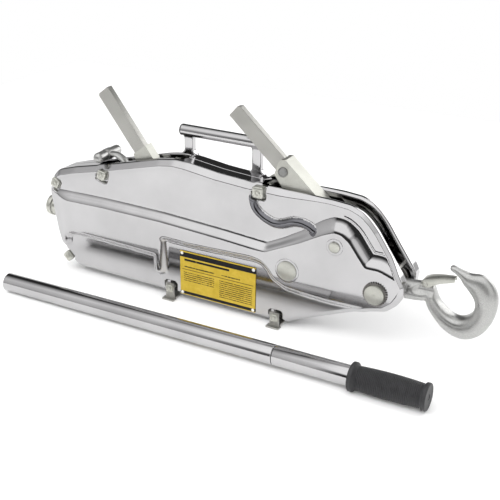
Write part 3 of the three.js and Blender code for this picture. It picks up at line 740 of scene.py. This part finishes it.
BOSSES = (("crank_boss", TRUNNION, 16.4, 20.0), ("lever_boss", LEVER_PIN, 8.9, 13.3))
ANCHOR_BOSS = [(17.6, 17.2), (17.6, 24), (18.4, 25), (18.4, 29.5), (19.4, 30.5), (26, 30.5), (26, 17.2)]
for end, side in (("front", -1), ("rear", 1)):
    for name, spot, inner, outer in BOSSES:
        ring = across(spot, boss_profile(inner, outer), 96, True, side)
        make(f"{end}_{name}", *ring, "casing", "chrome", CHROME)
    boss = across(ANCHOR, ANCHOR_BOSS, 96, True, side)
    make(f"{end}_anchor_boss", *boss, "casing", "chrome", STEEL)


def pin_profile(half, radius, dimple=0.0, edge=1.0):
    """Half of a headless pin from the middle to its end, with a chamfer and a centre mark."""
    end = [(half - edge, radius), (half - 0.3 * edge, radius - 0.3 * edge), (half, radius - edge)]
    if dimple:
        return end + [(half, dimple), (half - 1.2, 0.3), (half - 1.2, 0.02)]
    return end + [(half, 0.02)]


def y_pin(node, suffix, spot, profile, material, body="casing", slot="zinc", sides=96):
    """A pin turned about a Y axis through spot, in place of its CAD node."""
    make(node + suffix, *across(spot, profile, sides), body, slot, material, [node])


y_pin("anchor_pin", "_turned", ANCHOR, both_ways(pin_profile(46, 15.4, 1.6)), ZINC_SMOOTH)
y_pin("lever_pivot_pin", "_turned", LEVER_PIN, both_ways(pin_profile(41.6, 8.5, 0, 0.7)), ZINC_SMOOTH)
STUB = [(14, 0.02), (14, 16)] + pin_profile(41.6, 16, 0, 0.8)
y_pin("crank_trunnion_front", "_turned", TRUNNION, [(-d, r) for d, r in STUB[::-1]], ZINC_SMOOTH)
y_pin("crank_trunnion_rear", "_turned", TRUNNION, STUB, ZINC_SMOOTH)
head = [(14.2, 5), (14.2, 7.8), (16.0, 7.6), (16.4, 6.9), (15.7, 6.3), (15.7, 5.9), (16.4, 5.3), (16.4, 0.02)]
y_pin("forward_lever_shear_pin", "_headed", place("forward_lever_shear_pin"), both_ways(head), RIVET_GREY,
      "forward_lever")


def serrated_ring(side):
    """Push-on retaining ring: a thin disc cut into small spring teeth round its rim."""
    teeth, per_tooth = 30, 8
    count = teeth * per_tooth

    def loop(radius, y, cut=0.0):
        points = []
        for i in range(count):
            t = 2 * math.pi * i / count
            r = radius - (cut if i % per_tooth in (0, 1, 2) else 0)
            points.append((ANCHOR.x + r * math.cos(t), side * y, ANCHOR.z + r * math.sin(t)))
        return points

    return ring_loft([loop(15.7, 41.3), loop(15.7, 43.0), loop(16.6, 43.7), loop(17.6, 43.4, 0.9),
                      loop(18.9, 42.6, 1.8), loop(18.9, 41.3, 1.8)])


for end, side in (("front", -1), ("rear", 1)):
    node = f"anchor_retaining_ring_{end}"
    make(node + "_toothed", *serrated_ring(side), "casing", "steel", STEEL, [node])


def rounded_square(centre, half, corner, turn, y, shrink=0.0, steps=6):
    """Loop of a square with round corners, in a plane of constant y."""
    c, s = math.cos(math.radians(turn)), math.sin(math.radians(turn))
    points = []
    r = max(corner - shrink, 0.3)
    base = half - corner
    for k, (sx, sz) in enumerate(((1, 1), (-1, 1), (-1, -1), (1, -1))):
        for a in np.linspace(0, math.pi / 2, steps):
            t = a + k * math.pi / 2
            u = sx * base + r * math.cos(t)
            v = sz * base + r * math.sin(t)
            points.append((centre.x + u * c + v * s, y, centre.z - u * s + v * c))
    return points


def clip_head(spot, half, turn, side, inner_y, outer_y):
    """Square head with rounded edges and the rolled ring of its rivet."""
    edge = 2.0
    loops = [rounded_square(spot, half, 3.5, turn, side * inner_y)]
    for a in np.linspace(0, math.pi / 2, 5):
        y = side * (outer_y - edge * (1 - math.sin(a)))
        shrink = edge * (1 - math.cos(a))
        loops.append(rounded_square(spot, half - shrink, 3.5, turn, y, shrink))
    block = loft(loops)
    ridge = [(outer_y - 1, 4.6), (outer_y + 0.6, 4.6), (outer_y + 1.1, 4.0), (outer_y + 1.1, 3.2),
             (outer_y + 0.5, 2.6), (outer_y - 1, 2.4)]
    return merged(block, across(spot, ridge, 32, True, side))


for node, (turn, half, inner_y, outer_y) in CLIPS.items():
    spot = clip_place(node)
    heads = [clip_head(spot, half, turn, side, inner_y, outer_y) for side in (-1, 1)]
    shank = turned(rounded_rod(2 * inner_y + 2, 5, 0.5), (spot.x, -inner_y - 1, spot.z), (0, 1, 0), 24)
    make(node + "_riveted", *merged(*heads, shank), "casing", "zinc", ZINC_SMOOTH, [node])

BUSH = [(-356, 9.6), (-357.4, 10.4), (-358, 12), (-357.9, 16.5), (-357, 18), (-355.5, 18.5), (-350, 18.5),
        (-348.7, 18), (-348, 16.4), (-347, 15.2), (-345, 14.8), (-304, 14.8), (-304, 9.6)]
rope_line = place("rope_guide_bush")
make("rope_guide_bush_turned", *turned(BUSH, (0, 0, rope_line.z), (1, 0, 0), 72, True), "casing", "zinc",
     ZINC_SMOOTH, ["rope_guide_bush"])


# ---- carry handle: a tube with moulded end plugs on two strap legs ----
BAR = place("carry_handle_bar")
BAR_LEFT, BAR_RIGHT, BAR_R, BAR_BORE, BAR_EDGE = -93, 64, 9.5, 7.6, 0.4
bar = [(BAR_LEFT, BAR_BORE), (BAR_LEFT, BAR_R - BAR_EDGE), (BAR_LEFT + BAR_EDGE, BAR_R),
       (BAR_RIGHT - BAR_EDGE, BAR_R), (BAR_RIGHT, BAR_R - BAR_EDGE), (BAR_RIGHT, BAR_BORE)]
make("carry_handle_bar_tube", *turned(bar, (0, BAR.y, BAR.z), (1, 0, 0), 72, True), "casing", "chrome",
     TUBE_CHROME, ["carry_handle_bar"])
cap = [(-10, 0.02), (-10, 7.0), (-0.2, 7.0), (-0.1, 9.2), (1.2, 9.3), (2.2, 8.6), (2.8, 6.4), (3, 0.02)]
for end, x, side in (("left", BAR_LEFT, -1), ("right", BAR_RIGHT, 1)):
    node = f"carry_handle_plug_{end}"
    plug = turned(cap, (x, BAR.y, BAR.z), (side, 0, 0), 48)
    make(node + "_moulded", *plug, "casing", "rubber", RUBBER, [node])


def strap_leg(x0, x1, base):
    """Upright of the carry handle: a strap that flares under the bar and where it meets the cover."""
    heights = np.concatenate([np.linspace(base, base + 10, 7), np.linspace(base + 12, BAR.z - 14, 4),
                              np.linspace(BAR.z - 12, BAR.z - 3, 6)])
    loops = []
    for z in heights:
        low = max(0.0, 1 - (z - base) / 9)
        high = max(0.0, 1 - (BAR.z - 4 - z) / 9)
        flare = 7 * low ** 2 + 5 * high ** 2
        mid, half = (x0 + x1) / 2, (x1 - x0) / 2 + flare
        depth = 6 + 2.4 * high ** 2
        loop = []
        for i in range(32):
            t = 2 * math.pi * i / 32
            cx, cy = math.cos(t), math.sin(t)
            loop.append((mid + half * math.copysign(abs(cx) ** 0.35, cx),
                         BAR.y + depth * math.copysign(abs(cy) ** 0.35, cy), z))
        loops.append(loop)
    return loft(loops)


for end, x0, x1, base in (("left", -88, -72, 240.5), ("right", 35, 51, 229.2)):
    node = f"carry_handle_leg_{end}"
    make(node + "_strap", *strap_leg(x0, x1, base), "casing", "chrome", TUBE_CHROME, [node])


# ---- release lever ----
T_BAR = place("release_lever_t_bar")
CAM = place("release_cam")
y_pin("release_lever_t_bar", "_round", T_BAR, capsule(33, 8.8, 8), ZINC_CAST, "release_lever", "zinc", 64)


stem = swept([(-229, 221, 4), (-219, 222.5, 4.4), (-208, 221.5, 4.6), (-197, 215, 4.8), (-189, 204.5, 5),
              (-183, 191, 5.2), (-177, 177, 5.5), (-173, 171, 5.5)], flat=1.7)
eye = across(T_BAR, both_ways([(7, 9.8), (8, 9.3), (8, 8.9)]), 48, True)
hub = across(Vector((CAM.x, 0, 170)), both_ways([(6, 11), (7, 10), (7, 6.4)]), 48, True)
make("release_lever_stem_forged", *merged(stem, eye, hub), "release_lever", "zinc", ZINC_CAST,
     ["release_lever_stem"])


# ---- hook: forged bow about the middle of its throat, a round shank and an eye on the anchor pin ----
THROAT_X, THROAT_Z = 383, 114
BOW = [  # angle, inner radius, outer radius, half thickness
    (-186, 37, 43, 6), (-180, 34.5, 46.5, 12), (-168, 33, 49, 14.5), (-154, 32.5, 51, 15),
    (-125, 32, 54.5, 15.3), (-104, 34, 62, 15.5), (-88, 35.5, 68, 15.5), (-74, 35.5, 70.6, 15.5),
    (-57.5, 34, 68.8, 15.3), (-39, 31.5, 64.7, 15), (-16, 26.5, 60.4, 14.5), (8, 20.5, 58.5, 13.5),
    (27, 17.5, 55.5, 12.5), (46, 16.8, 49.5, 11.5), (66, 17.8, 38.5, 10), (80, 21.5, 37.5, 8.6),
    (90, 25.5, 38.5, 7.5), (98, 29.5, 41, 6.8), (104, 32.5, 43, 6.6), (108, 34.5, 44, 6.6),
    (111, 36.5, 43.5, 5.6), (112.6, 38, 42, 3.6),
]
SHANK = [  # x, middle z, half height, half width
    (289.6, 103, 13.5, 13.5), (291, 103, 15, 15), (305, 103.6, 15.2, 15.2), (322, 105, 15.4, 15.4),
    (333, 106.5, 15.2, 14.6), (341, 106.5, 13, 12), (346, 106.5, 9, 8), (348, 106.5, 5, 4),
]
LATCH_PIN = place("hook_latch_pin")


def bow_section(angle, inner, outer, half, sides=40):
    """Section of the bow: round inside, a little thinner outside."""
    a = math.radians(angle)
    mid, wide = (inner + outer) / 2, (outer - inner) / 2
    loop = []
    for i in range(sides):
        t = 2 * math.pi * i / sides
        c, s = math.cos(t), math.sin(t)
        r = mid + wide * math.copysign(abs(c) ** 0.85, c)
        y = half * (1 - 0.12 * c) * math.copysign(abs(s) ** 0.85, s)
        loop.append((THROAT_X + r * math.cos(a), y, THROAT_Z + r * math.sin(a)))
    return loop


def shank_section(x, z, tall, wide, sides=40):
    """Oval section of the shank, square to X."""
    turns = np.arange(sides) * 2 * math.pi / sides
    return [(x, wide * math.sin(t), z + tall * math.cos(t)) for t in turns]


def bake(obj):
    """Replaces an object's mesh with what its modifiers make of it."""
    depsgraph = bpy.context.evaluated_depsgraph_get()
    mesh = bpy.data.meshes.new_from_object(obj.evaluated_get(depsgraph))
    obj.modifiers.clear()
    obj.data = mesh


def forged_hook():
    """Bow, shank, eye and latch lug made one body, its neck narrowed between the latch's cheeks."""
    bow = loft([bow_section(*row) for row in finer(BOW)])
    shank = loft([shank_section(*row) for row in SHANK])
    eye = across(ANCHOR, [(-15.5, 17), (-15.5, 25), (-13, 27.5), (13, 27.5), (15.5, 25), (15.5, 17),
                          (14.5, 15.9), (-14.5, 15.9)], 96, True)
    lug = across(LATCH_PIN, both_ways([(5.6, 6.2), (6.4, 5)]), 48)
    obj = make("hook_forged", *merged(bow, shank, eye, lug), "hook", "zinc", ZINC_CAST, ["hook"])
    remesh = obj.modifiers.new("remesh", "REMESH")
    remesh.mode = "VOXEL"
    remesh.voxel_size = 1.2 * MM
    bake(obj)
    for v in obj.data.vertices:
        x, y, z = (v.co - ORIGIN) / MM
        squeeze = ease(x, 312, 16) * (1 - ease(x, 349, 22)) * ease(z, 102, 10)
        half = 16 - 9.6 * squeeze
        v.co.y = ORIGIN.y + min(max(y, -half), half) * MM
        v.co.x -= 1.4 * MM * ease(x, 412, 28)
    soften = obj.modifiers.new("soften", "SMOOTH")
    soften.factor = 0.5
    soften.iterations = 14
    bake(obj)
    obj.data.shade_smooth()


forged_hook()
LATCH = [  # x, underside, top, half width
    (329, 120, 124, 8.9), (331, 118, 127, 9.4), (335, 117, 129.5, 9.6), (340, 117, 131.5, 9.6),
    (345, 119.5, 133, 9.2), (352, 124, 135, 8.4), (361, 127.5, 136.8, 7.4), (370, 130, 138, 6.6),
    (377, 132.5, 138.8, 6),
]


def latch_sheet(t=1.7, r=1.4):
    """Sheet-metal latch of thickness t: a channel open underneath, drawn in towards its tip."""
    loops = []
    for x, low, top, w in finer(LATCH, 3):
        loops.append([(x, *p) for p in (
            (-w, low), (-w, top - r), (-w + 0.3 * r, top - 0.3 * r), (-w + r, top), (w - r, top),
            (w - 0.3 * r, top - 0.3 * r), (w, top - r), (w, low), (w - t, low), (w - t, top - t),
            (-w + t, top - t), (-w + t, low))])
    return loft(loops)


make("hook_latch_sheet", *latch_sheet(), "hook_latch", "zinc", ZINC_SMOOTH, ["hook_latch"])
half_rivet = [(10.2, 2.5), (10.3, 4.1), (11.2, 3.6), (11.9, 2.2), (12, 0.02)]
y_pin("hook_latch_pin", "_riveted", LATCH_PIN, both_ways(half_rivet), ZINC_SMOOTH, "hook", "steel", 40)


# ---- data plate rivets ----
PLATE_FACE, RIVET_X, RIVET_LOW, RIVET_HIGH = -31.5, 66, 18.5, 89
dome = [(0, 0.02), (0, 2.7), (0.5, 2.6), (1.0, 1.9), (1.25, 0.02)]
for i in range(4):
    spot = (RIVET_X * (-1, 1)[i % 2], PLATE_FACE, (RIVET_LOW, RIVET_HIGH)[i // 2])
    make(f"data_plate_rivet_{i + 1}", *turned(dome, spot, (0, -1, 0), 24), "casing", "zinc", RIVET_WHITE)
dress("data_plate", printed_plate(), 0)


# ---- operating handle: two chromed tubes and a ribbed rubber grip, lying on the floor ----
TUBE_START = Vector((-342, -142, 15.5))
TILT = math.atan(6 / 627)    # it rests on its start and on the wider grip
TUBE_AXIS = Vector((math.cos(TILT), 0, math.sin(TILT)))
TUBE_R, TUBE_BORE, TUBE_END, GRIP_AT, GRIP_END = 15.5, 13.9, 504, 624, 738


def along_tube(profile, sides=128, hollow=False):
    """Turned piece on the handle's own axis."""
    return turned(profile, TUBE_START, TUBE_AXIS, sides, hollow)


outer = [(0, TUBE_BORE)] + rounding(TUBE_R, 0.7, 5)
outer += [(TUBE_END - 0.8, TUBE_R), (TUBE_END - 0.2, TUBE_R - 0.6), (TUBE_END, TUBE_R - 1),
          (TUBE_END, TUBE_BORE)]
make("handle_outer_tube_drawn", *along_tube(outer, 128, True), "operating_handle", "chrome", TUBE_CHROME,
     ["handle_outer_tube", "handle_socket_end"])
inner = [(32, 11.4), (32, 13.4), (TUBE_END + 0.8, 13.4), (TUBE_END + 0.9, 14.4), (TUBE_END + 1.1, 15.0),
         (TUBE_END + 1.8, TUBE_R), (GRIP_AT - 0.4, TUBE_R), (GRIP_AT, TUBE_R - 0.4), (GRIP_AT, 13.4),
         (GRIP_END - 8, 13.4), (GRIP_END - 8, 11.4)]
make("handle_inner_tube_drawn", *along_tube(inner, 128, True), "handle_extension", "chrome", TUBE_CHROME,
     ["handle_inner_tube"])


def ribbed_grip():
    """Moulded grip: thick flange, fine rings over a swelling body, and an end rim."""
    g = GRIP_AT + 0.3
    profile = [(GRIP_END - 7.7, 0.02), (GRIP_END - 7.7, 13.7), (g, 13.7), (g, 20.6), (g + 0.8, 21.5),
               (g + 5.4, 21.5), (g + 6.6, 20.8), (g + 7.4, 18.6), (g + 9, 17.2)]
    start, end, pitch = g + 10, GRIP_END - 9, 2.6
    for k in range(int((end - start) / pitch)):
        x = start + k * pitch
        share = (x - start) / (end - start)
        r = 17.5 + 1.6 * math.sin(math.pi * min(1, share * 1.05)) ** 0.8
        profile += [(x, r - 0.9), (x + 0.5, r - 0.1), (x + 1.1, r + 0.1), (x + 1.7, r - 0.1),
                    (x + 2.2, r - 0.9)]
    profile += [(GRIP_END - 8, 17.3), (GRIP_END - 7.2, 19.4), (GRIP_END - 6.4, 20), (GRIP_END - 2, 20),
                (GRIP_END - 0.9, 19.3), (GRIP_END - 0.4, 17.6), (GRIP_END - 0.8, 15.5), (GRIP_END - 0.8, 4.5),
                (GRIP_END - 1.6, 4), (GRIP_END - 1.6, 0.02)]
    return along_tube(profile, 96)


make("handle_grip_ribbed", *ribbed_grip(), "handle_extension", "rubber", RUBBER, ["handle_grip"])


# ---- stage, light and camera ----
ROLL = 0.87


def camera():
    """The photograph's view: its place, lens and a slight roll."""
    where, target = at(688.3, -1205.2, 714.6), at(63.8, -40.0, 126.2)
    data = bpy.data.cameras.new("camera")
    data.lens = 67.6
    data.sensor_width = 36
    cam = bpy.data.objects.new("camera", data)
    cam.location = where
    turn = (target - where).to_track_quat("-Z", "Y").to_matrix()
    cam.rotation_euler = (turn @ Matrix.Rotation(math.radians(ROLL), 3, "Z")).to_euler()
    bpy.context.scene.collection.objects.link(cam)
    bpy.context.scene.camera = cam


FLOOR_HALF = 1.35


def floor():
    """Pale matt floor under the part."""
    mat, nodes, links, shader = new_material("pale_floor")
    tone = remap(nodes, links, noise(nodes, links, coordinates(nodes, links), 3, 2), 0, 1)
    links.new(blend(nodes, links, tone, (0.86, 0.86, 0.86), (0.88, 0.88, 0.88)), shader.inputs["Base Color"])
    shader.inputs["Roughness"].default_value = 0.9
    mesh = bpy.data.meshes.new("floor")
    s = FLOOR_HALF
    mesh.from_pydata([(-s, -s, 0), (s, -s, 0), (s, s, 0), (-s, s, 0)], [], [(0, 1, 2, 3)])
    mesh.materials.append(mat)
    obj = bpy.data.objects.new("floor", mesh)
    bpy.context.scene.collection.objects.link(obj)


def area_light(name, where, aim, size, power, mirrored=True):
    """Rectangular light; mirrored tells whether it shows in the chrome."""
    data = bpy.data.lights.new(name, "AREA")
    data.shape = "RECTANGLE"
    data.size, data.size_y = size
    data.energy = power
    obj = bpy.data.objects.new(name, data)
    obj.location = where
    obj.rotation_euler = (Vector(aim) - Vector(where)).to_track_quat("-Z", "Y").to_euler()
    obj.visible_glossy = mirrored
    bpy.context.scene.collection.objects.link(obj)


def ramp(nodes, links, value, stops):
    """Grey level by value: stops are (value, level)."""
    node = nodes.new("ShaderNodeValToRGB")
    links.new(value, node.inputs[0])
    elements = node.color_ramp.elements
    elements[0].position, elements[1].position = stops[0][0], stops[-1][0]
    for pos, _ in stops[1:-1]:
        elements.new(pos)
    for element, (pos, tone) in zip(elements, stops):
        element.position = pos
        element.color = (tone, tone, tone, 1)
    return node.outputs["Color"]


def world():
    """Studio surround: dark walls, paler at the sides and low at the back, under a bright ceiling."""
    w = bpy.data.worlds.new("studio")
    bpy.context.scene.world = w
    w.use_nodes = True
    nodes, links = w.node_tree.nodes, w.node_tree.links
    coord = nodes.new("ShaderNodeTexCoord")
    split = nodes.new("ShaderNodeSeparateXYZ")
    links.new(coord.outputs["Generated"], split.inputs[0])
    height = split.outputs["Z"]
    front = ramp(nodes, links, height, [(0, 0.04), (0.03, 0.03), (0.07, 0.03), (0.32, 0.03), (0.42, 0.4),
                                        (0.52, 1.0), (1.0, 1.0)])
    back = ramp(nodes, links, height, [(0, 0.5), (0.19, 0.5), (0.26, 0.03), (0.72, 0.02), (0.86, 0.4),
                                       (0.92, 1.0), (1.0, 1.0)])
    off_centre = maths(nodes, links, "ABSOLUTE", split.outputs["X"])
    aside = maths(nodes, links, "MULTIPLY_ADD", off_centre, 5.0, -1.9)
    sides = ramp(nodes, links, height, [(0, 0.3), (0.1, 0.45), (0.5, 0.6), (1.0, 1.0)])
    walls = blend(nodes, links, aside, front, sides)
    behind = maths(nodes, links, "MULTIPLY_ADD", split.outputs["Y"], 1.6, 0.5)
    links.new(blend(nodes, links, behind, walls, back), nodes["Background"].inputs["Color"])
    seen = nodes.new("ShaderNodeLightPath")
    white = nodes.new("ShaderNodeBackground")
    choose = nodes.new("ShaderNodeMixShader")
    links.new(seen.outputs["Is Camera Ray"], choose.inputs[0])
    links.new(nodes["Background"].outputs[0], choose.inputs[1])
    links.new(white.outputs[0], choose.inputs[2])
    white.inputs["Color"].default_value = (1, 1, 1, 1)
    nodes["Background"].inputs["Strength"].default_value = 1.5
    links.new(choose.outputs[0], nodes["World Output"].inputs["Surface"])


camera()
floor()
world()
area_light("flood", (0, 0, 3.6), (0, 0, 0), (11, 11), 150, False)
area_light("fill", (0.2, -2.4, 2.3), (0, -0.2, 0), (3.2, 1.6), 38, False)
area_light("rim", (1.2, 1.85, 1.05), (0, 0, 0.2), (2.2, 1.6), 26)
area_light("right_wall", (2.3, -1.5, 0.7), (0.2, 0, 0.15), (2.0, 1.4), 3)
area_light("key", (-0.9, -1.5, 2.0), (0, 0, 0.1), (1.4, 0.5), 14, False)
bpy.context.scene.view_settings.view_transform = "Standard"
